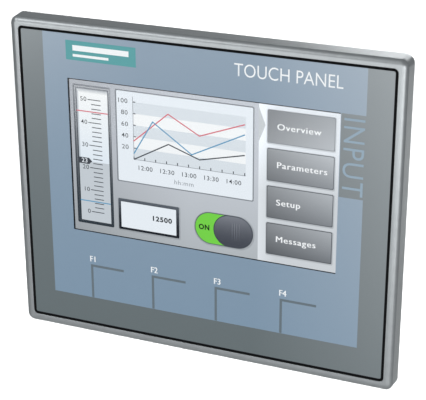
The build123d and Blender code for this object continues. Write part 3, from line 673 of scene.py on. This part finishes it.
GAUGE_FRAME = (-47.1, -32.9, -24.9, 26.3)
GAUGE_PAPER = (-45.6, -34.0, -23.7, 24.8)
GAUGE_ZERO, GAUGE_UNIT = -20.1, 0.826  # height of the 0 mark, and of one unit
GAUGE_LEVEL = -1.3
GAUGE_SOFT = 1.5  # reach of the frame's shadow on the paper from the top
GAUGE_BESIDE, GAUGE_BESIDE_FADE = 0.6, 0.8  # width of the shadow at the left, and of its fading
TICKS_RIGHT, TICK_LEFT, MAJOR_TICK_LEFT = -36.6, -40.2, -41.5
FIGURE_GAP = 0.4  # between a figure and its tick
GAUGE_RED, GAUGE_BLUE = 16.85, -16.2  # heights of the limit lines
GAUGE_TICK, GAUGE_LIMIT = 0.3, 0.4  # line widths
TAG_Z, TAG_HALF, TAG_SHOULDER, TAG_TIP, TAG_FIGURE_X = -1.2, 1.15, -41.8, -40.6, -43.5


def make_gauge():
    """Upright level gauge from 0 to 50 with a tag at 23."""
    art = screen_art("screen_gauge")
    left, right, bottom, top = GAUGE_PAPER
    frame_colour = lit("lit_gauge_frame", (44, 53, 61), (138, 142, 149), (-15, 36), curve=2.4)
    ridge = lit("lit_gauge_ridge", (52, 61, 69), (196, 199, 205), (-15, 36), curve=1.8)
    art.rectangle(*GAUGE_FRAME, frame_colour, 2, radius=0.5)
    for reach, colour, layer in ((0.85, ridge, 3), (0.55, frame_colour, 4)):
        art.rectangle(left - reach, right + reach, bottom - reach * 0.6, top + reach, colour, layer)
    shadow_from, edge = top - GAUGE_SOFT, SCREEN_Z + top
    paper = lit("lit_gauge_paper", (228, 237, 246), (248, 250, 251), (10, 34))
    shaded = lit("lit_gauge_shaded", (248, 250, 251), (186, 191, 198), (edge - GAUGE_SOFT, edge))
    fade = (left, left + GAUGE_BESIDE_FADE)
    beside = lit("lit_gauge_beside", (205, 214, 223), (216, 220, 226), (10, 34), (0.8, 1.12), fade)
    art.rectangle(left, right, bottom, shadow_from, paper, 5)
    art.rectangle(left, right, shadow_from, top, shaded, 5)
    art.rectangle(left, left + GAUGE_BESIDE, bottom, top - GAUGE_SOFT / 2, beside, 6)
    art.rectangle(left, right, bottom, GAUGE_LEVEL, lit("lit_fill", (198, 205, 212)), 7)
    for value in range(0, 51, 2):
        z = GAUGE_ZERO + value * GAUGE_UNIT
        is_major = value % 10 == 0
        x = MAJOR_TICK_LEFT if is_major else TICK_LEFT
        art.level(x, TICKS_RIGHT, z, GAUGE_TICK, INK_DARK, 8)
        if is_major:
            x -= FIGURE_GAP
            write_figures(art, str(value), x, z, INK_FIGURE, 8, align="RIGHT", weight=0.005, wide=1.05)
    art.level(left - 0.3, right, GAUGE_RED, GAUGE_LIMIT, RED, 9)
    art.level(left - 0.2, right, GAUGE_BLUE, GAUGE_LIMIT, BLUE, 9)
    make_gauge_tag(art, left - 0.4)
    show_on_screen(art)


def make_gauge_tag(art, left):
    """Pointed tag that carries the reading."""
    low, high = TAG_Z - TAG_HALF, TAG_Z + TAG_HALF
    outline = [(left, low), (TAG_SHOULDER, low), (TAG_TIP, TAG_Z), (TAG_SHOULDER, high), (left, high)]
    art.polygon(outline, lit("lit_tag", (66, 71, 79)), 9)
    write_figures(art, "23", TAG_FIGURE_X, TAG_Z, PAPER, 10, align="CENTER", weight=0.02)


CHART_EDGE, CHART_PAPER = (-31.1, 19.2, -6.9, 26.3), (-30.6, 18.8, -6.5, 25.9)
CHART_LEFT, CHART_RIGHT, CHART_BOTTOM, CHART_TOP = -24.5, 16.0, 1.9, 24.3
CHART_PAST = 0.3  # bands and base line run this far past the last tick
CHART_UNIT = 0.2055  # height of one unit
CHART_STEPS = 10
CHART_TIMES = ("12:00", "12:30", "13:00", "13:30", "14:00")
TIMES_Z, UNIT_X, UNIT_Z, VALUES_OUT = -1.0, -6.0, -4.2, 1.9
CHART_TICK = 1.0  # length of a tick
VALUE_LINE, TIME_LINE, AXIS_LINE, CURVE_LINE = 0.32, 0.34, 0.24, 0.42  # line widths
CURVES = (  # colour, layer, and points as a share of the time and a value
    (RED, 8, ((0.0, 32), (0.32, 87), (0.60, 57), (1.0, 87))),
    (BLUE, 9, ((0.0, 10), (0.18, 70), (0.53, 23), (1.0, 70))),
    (INK_DARK, 7, ((0.0, 0), (0.32, 35), (0.60, 16), (1.0, 35))),
)


def make_chart():
    """Trend chart with three curves over two hours."""
    art = screen_art("screen_chart")
    right, across = CHART_RIGHT + CHART_PAST, CHART_RIGHT - CHART_LEFT
    art.rectangle(*CHART_EDGE, lit("lit_edge", (130, 135, 142)), 2, radius=0.6)
    art.rectangle(*CHART_PAPER, PAPER, 3, radius=0.4)
    for low in range(0, 100, 20):
        z0, z1 = (CHART_BOTTOM + value * CHART_UNIT for value in (low, low + 20))
        art.rectangle(CHART_LEFT, right, z0, z1, PAPER_BRIGHT if low % 40 else PAPER_SHADE, 4)
    art.upright(CHART_LEFT, CHART_BOTTOM, CHART_TOP, AXIS_LINE, INK_SOFT, 5)
    art.level(CHART_LEFT, right, CHART_BOTTOM, AXIS_LINE, INK_SOFT, 5)
    for value in range(20, 101, 20):
        x, z = CHART_LEFT - VALUES_OUT, CHART_BOTTOM + value * CHART_UNIT
        art.level(CHART_LEFT, CHART_LEFT + CHART_TICK, z, VALUE_LINE, INK_DARK, 6)
        write_figures(art, str(value), x, z, INK_FIGURE, 6, align="RIGHT", weight=0.005, wide=1.1)
    for step in range(CHART_STEPS + 1):
        x = CHART_LEFT + across * step / CHART_STEPS
        art.upright(x, CHART_BOTTOM, CHART_BOTTOM + CHART_TICK, TIME_LINE, INK_DARK, 6)
    for i, label in enumerate(CHART_TIMES):
        x = CHART_LEFT + across * (2 * i + 1) / CHART_STEPS
        write_figures(art, label, x, TIMES_Z, INK_FIGURE, 6, align="CENTER", weight=0.01, wide=1.05)
    write_figures(art, "hh:mm", UNIT_X, UNIT_Z, INK_SOFT, 6, align="CENTER", weight=0.02, wide=1.1)
    for colour, layer, values in CURVES:
        points = [(CHART_LEFT + t * across, CHART_BOTTOM + v * CHART_UNIT) for t, v in values]
        art.line(points, CURVE_LINE, colour, layer)
    show_on_screen(art)


NUMBER_SHADE, NUMBER_FRAME = (-31.3, -7.5, -25.4, -13.1), (-31.0, -8.0, -24.9, -13.3)
NUMBER_PAPER = (-30.0, -9.1, -24.0, -14.4)
NUMBER_RIGHT, NUMBER_Z, NUMBER_HIGH = -10.7, -19.0, 1.8


def make_number_field():
    """Framed field that shows a number."""
    art = screen_art("screen_number_field")
    frame_colour = lit("lit_field_frame", (20, 26, 34), (92, 99, 108), (-14, -3), curve=1.6)
    digits = lit("lit_digits", (34, 40, 46))
    heavy = {"weight": 0.09, "wide": 1.12, "apart": 1.14}
    art.rectangle(*NUMBER_SHADE, lit("lit_field_shade", (148, 153, 159)), 1, radius=0.6)
    art.rectangle(*NUMBER_FRAME, frame_colour, 2, radius=0.4)
    art.rectangle(*NUMBER_PAPER, PAPER, 3)
    art.text("12500", NUMBER_RIGHT, NUMBER_Z, NUMBER_HIGH, digits, 4, align="RIGHT", **heavy)
    show_on_screen(art)


SWITCH = (-2.2, 19.1, -24.9, -13.2)
SWITCH_RIM = 0.3
KNOB_LEFT = 4.7
GROOVES_X, GROOVES_Z, GROOVE_PITCH, GROOVE_W = 11.4, (-22.2, -15.9), 0.85, 0.2
ON_X, ON_Z, ON_HIGH = 1.3, -19.05, 1.9


def make_switch():
    """Sliding switch shown as on: green at the left, dark knob at the right."""
    art = screen_art("screen_switch")
    left, right, bottom, top = SWITCH
    knob_box = (KNOB_LEFT, right, bottom, top)
    outer = (top - bottom) / 2
    inner = outer - SWITCH_RIM
    shade = lit("lit_switch_shade", (150, 155, 161))
    knob = lit("lit_knob", (68, 72, 82), (126, 130, 139), (-14.5, -3.5), curve=1.8)
    art.rectangle(left - 0.2, right + 0.5, bottom - 0.5, top + 0.2, shade, 1, radius=outer)
    art.rectangle(*SWITCH, lit("lit_switch_edge", (88, 100, 98)), 2, radius=outer)
    art.rectangle(*grown(SWITCH, -SWITCH_RIM), lit("lit_green", (118, 212, 72)), 3, radius=inner)
    art.rectangle(*knob_box, lit("lit_knob_edge", (60, 66, 76)), 4, radius=outer)
    art.rectangle(*grown(knob_box, -SWITCH_RIM), knob, 5, radius=inner)
    groove = lit("lit_groove", (48, 52, 61), (84, 88, 97), (-12, -6))
    ridge = lit("lit_ridge", (104, 108, 118), (142, 146, 155), (-12, -6))
    for i in range(4):
        x = GROOVES_X + GROOVE_PITCH * i
        art.rectangle(x - GROOVE_W, x, *GROOVES_Z, groove, 6)
        art.rectangle(x, x + GROOVE_W, *GROOVES_Z, ridge, 6)
    letters = lit("lit_on", (20, 38, 20))
    art.text("ON", ON_X, ON_Z, ON_HIGH, letters, 4, align="CENTER", weight=0.1, wide=0.92, apart=1.14)
    show_on_screen(art)


MENU_LEFT, ARROW_TIP, ARROW_LOW, ARROW_HIGH = 20.8, 23.1, 14.7, 26.5
BUTTON_X, BUTTON_TOP, BUTTON_HIGH, BUTTON_PITCH = (23.8, 46.8), 26.15, 11.4, 13.18
BUTTON_RIM = 0.25
WORD_INSET, WORD_HIGH, WORD_STROKE = 3.2, 2.2, 0.14
BUTTONS = (  # word, and the grey at the bottom and at the top
    ("Overview", 169, 150),
    ("Parameters", 128, 172),
    ("Setup", 116, 162),
    ("Messages", 102, 154),
)


def make_menu():
    """Light column at the right with an arrow and four named buttons."""
    art = screen_art("screen_menu")
    column = lit("lit_column", (209, 213, 218), (236, 241, 248), (7, 25), (1.2, 1.0), (21, 27))
    art.rectangle(MENU_LEFT, SCREEN_W / 2, -SCREEN_H / 2, SCREEN_H / 2, column, 2)
    tip = (ARROW_TIP, (ARROW_LOW + ARROW_HIGH) / 2)
    arrow = [(MENU_LEFT, ARROW_LOW), tip, (MENU_LEFT, ARROW_HIGH)]
    art.polygon(arrow, lit("lit_arrow", (204, 209, 213)), 3)
    shade = lit("lit_button_shade", (184, 188, 193), (212, 217, 223), (9, 26))
    for i, (word, low, high) in enumerate(BUTTONS):
        left, right = BUTTON_X
        top = BUTTON_TOP - i * BUTTON_PITCH
        bottom = top - BUTTON_HIGH
        edge = lit(f"lit_button_edge_{i + 1}", (low - 30, low - 26, low - 20))
        lowest, highest = (low, low + 4, low + 9), (high, high + 4, high + 9)
        ends = (SCREEN_Z + bottom, SCREEN_Z + top)
        face = lit(f"lit_button_{i + 1}", lowest, highest, ends, (0.78, 1.3), (23, 47))
        art.rectangle(left - 0.3, right + 0.4, bottom - 0.5, top + 0.2, shade, 3, radius=0.7)
        art.rectangle(left, right, bottom, top, edge, 4, radius=0.5)
        art.rectangle(*grown((left, right, bottom, top), -BUTTON_RIM), face, 5, radius=0.4)
        x, z = left + WORD_INSET, (top + bottom) / 2
        art.bold_text(word, x, z, WORD_HIGH, PAPER_BRIGHT, 6, WORD_STROKE, wide=1.13, apart=1.12)
    show_on_screen(art)


# ---------------------------------------------------------------- rear
RULE_INSET, RULE_WIDTH, RULE_ABOVE = 1.6, 0.25, 0.02
RULE_ROWS, RULE_COLUMN = 4, 24.0


def make_rating_print():
    """Ruled fields on the blank rating plate."""
    low, high = box_mm("rating_plate")
    y = high.y + RULE_ABOVE
    work = bmesh.new()
    lines = []
    x0, x1, z0, z1 = grown((low.x, high.x, low.z, high.z), -RULE_INSET)
    for i in range(RULE_ROWS + 1):
        z = z0 + (z1 - z0) * i / RULE_ROWS
        lines.append((x0, x1, z - RULE_WIDTH / 2, z + RULE_WIDTH / 2))
    for x in (x0, x0 + RULE_COLUMN, x1):
        lines.append((x - RULE_WIDTH / 2, x + RULE_WIDTH / 2, z0, z1))
    for a, b, c, d in lines:
        corners = [(a, c), (a, d), (b, d), (b, c)]
        work.faces.new([work.verts.new((px * MM, y * MM, pz * MM)) for px, pz in corners])
    bmesh.ops.recalc_face_normals(work, faces=work.faces)
    mesh = bpy.data.meshes.new("rating_plate_rules")
    work.to_mesh(mesh)
    work.free()
    mesh.materials.append(ink("black_ink", linear(28, 28, 30)))
    show(bpy.data.objects.new("rating_plate_rules", mesh), "housing")


ROUNDED = {  # edge rounding in millimetres, for the pieces that show
    "front_bezel": 0.12,
    "rear_cover": 0.25,
    "power_header": 0.15,
    "ethernet_jack": 0.15,
    "usb_port": 0.08,
    "usb_tongue": 0.15,
    "earth_washer": 0.1,
    "main_board": 0.08,
    "processor": 0.08,
    "memory_chips": 0.08,
    "capacitors": 0.4,
    "inductor": 0.3,
    "buzzer": 0.4,
}
CLIP_ROUNDING = 0.25


def dress_cad():
    """Rounds the pieces that show and gives every other CAD piece its finish."""
    for node, piece in NODES.items():
        if node in ROUNDED:
            rounded_copy(node, ROUNDED[node])
        elif node.startswith("mounting_clip_"):
            rounded_copy(node, CLIP_ROUNDING)
        elif not node.startswith("key_face"):
            piece.data.materials.clear()
            piece.data.materials.append(MATERIALS[SLOT_OF[node]])


# ---------------------------------------------------------------- floor and light
FLOOR_Z = -600.0
FLOOR_SIZE = 9000.0


def make_floor():
    """Pale floor well below the panel."""
    bpy.ops.mesh.primitive_plane_add(size=FLOOR_SIZE * MM, location=(0, 0, FLOOR_Z * MM))
    floor = bpy.context.object
    floor.name = "floor"
    shader = Shader("floor")
    shader.colour(tinted(shader, linear(240, 240, 240), 400, 0.01))
    shader.roughness(0.9)
    shader.values(Specular_IOR_Level=0.1)
    floor.data.materials.append(shader.material)


def make_light(name, place, aim, size, power, spread=180):
    """A rectangular softbox. place, aim and size are in metres, power in watts, spread in degrees."""
    data = bpy.data.lights.new(name, "AREA")
    data.shape = "RECTANGLE"
    data.size, data.size_y = size
    data.energy = power
    data.spread = math.radians(spread)
    light = bpy.data.objects.new(name, data)
    light.location = place
    light.rotation_euler = (Vector(aim) - Vector(place)).to_track_quat("-Z", "Y").to_euler()
    bpy.context.scene.collection.objects.link(light)


def make_lights():
    """Soft boxes in front, weaker ones behind, and three that keep the floor pale."""
    world = bpy.data.worlds.new("studio")
    world.use_nodes = True
    background = world.node_tree.nodes["Background"]
    background.inputs["Color"].default_value = (0.95, 0.98, 1.0, 1.0)
    background.inputs["Strength"].default_value = 0.4
    bpy.context.scene.world = world
    make_light("key", (-0.65, -1.0, 0.56), (0, 0, 0), (0.6, 0.3), 2.5)
    make_light("front", (-0.12, -1.1, -0.16), (0, 0, 0.02), (1.6, 0.46), 4.2)
    make_light("right_fill", (0.55, -1.1, -0.25), (0.05, 0, 0.02), (0.4, 0.5), 1.95)
    make_light("low_fill", (0.02, -1.1, -0.38), (0.06, 0, 0), (0.3, 0.3), 0.5)
    make_light("left_fill", (-0.8, -1.1, -0.08), (-0.06, 0, 0.04), (0.3, 0.25), 0.5)
    make_light("rim", (0.03, 1.15, 0.46), (0.03, 0, 0.05), (0.72, 0.3), 1.25, 100)
    # three lights over the floor behind the panel keep it evenly pale
    make_light("far_wash", (-0.95, 2.4, 1.4), (-0.95, 2.4, -0.6), (1.5, 0.7), 6.5, 52)
    make_light("mid_wash", (-0.62, 1.5, 1.4), (-0.62, 1.5, -0.6), (1.2, 1.4), 4.8, 56)
    make_light("near_wash", (-0.38, 0.95, 1.4), (-0.38, 0.95, -0.6), (1.0, 0.5), 3.8, 52)
    make_light("side", (0.55, 1.3, -0.55), (0.07, 0, 0), (0.5, 0.4), 0.44)
    bpy.context.scene.view_settings.view_transform = "Standard"


make_camera()
make_floor()
make_lights()
dress_cad()
make_print()
for number in KEYS:
    make_key_skin(number)
make_screen_ground()
make_gauge()
make_chart()
make_number_field()
make_switch()
make_menu()
make_rating_print()
